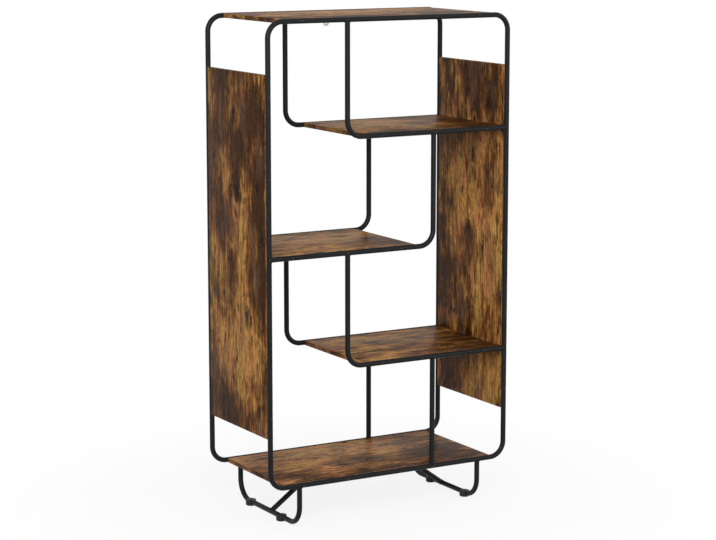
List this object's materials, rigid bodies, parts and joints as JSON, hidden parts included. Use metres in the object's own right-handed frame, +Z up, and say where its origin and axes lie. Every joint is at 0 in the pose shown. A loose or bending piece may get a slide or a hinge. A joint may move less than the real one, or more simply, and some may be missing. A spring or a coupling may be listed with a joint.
{
  "type": "shelving unit",
  "caption": "Tall shelving unit of bent black steel tube with rustic wood shelves set alternately to each side, wood side panels and braced tube feet.",
  "frame": {"origin": "on the floor, under the middle of the unit", "axes": "+X along the shelves to the right as seen from the front, +Y from the front to the wall side, +Z up"},
  "size_m": [0.8, 0.3856, 1.4465],
  "materials": {
    "black_steel": "satin",
    "rustic_board": "satin",
    "black_plastic": "satin",
    "zinc_plate": "satin",
    "dark_screw": "satin"
  },
  "bodies": {
    "root": {"front_outer_frame": "black_steel", "front_upper_divider": "black_steel", "front_middle_divider": "black_steel", "front_lower_divider": "black_steel", "front_base_post": "black_steel", "rear_outer_frame": "black_steel", "rear_upper_divider": "black_steel", "rear_middle_divider": "black_steel", "rear_lower_divider": "black_steel", "rear_base_post": "black_steel", "top_board": "rustic_board", "upper_shelf": "rustic_board", "middle_shelf": "rustic_board", "lower_shelf": "rustic_board", "bottom_board": "rustic_board", "left_side_panel": "rustic_board", "right_side_panel": "rustic_board", "left_foot": "black_steel", "left_brace": "black_steel", "left_brace_plate": "black_steel", "right_foot": "black_steel", "right_brace": "black_steel", "right_brace_plate": "black_steel", "glides": "black_plastic", "wall_strap": "zinc_plate", "left_panel_screws": "dark_screw", "right_panel_screws": "dark_screw", "top_board_screws": "dark_screw", "upper_shelf_screws": "dark_screw", "middle_shelf_screws": "dark_screw", "lower_shelf_screws": "dark_screw", "bottom_board_screws": "dark_screw", "brace_plate_screws": "dark_screw", "wall_strap_screw": "dark_screw"}
  },
  "joints": []
}
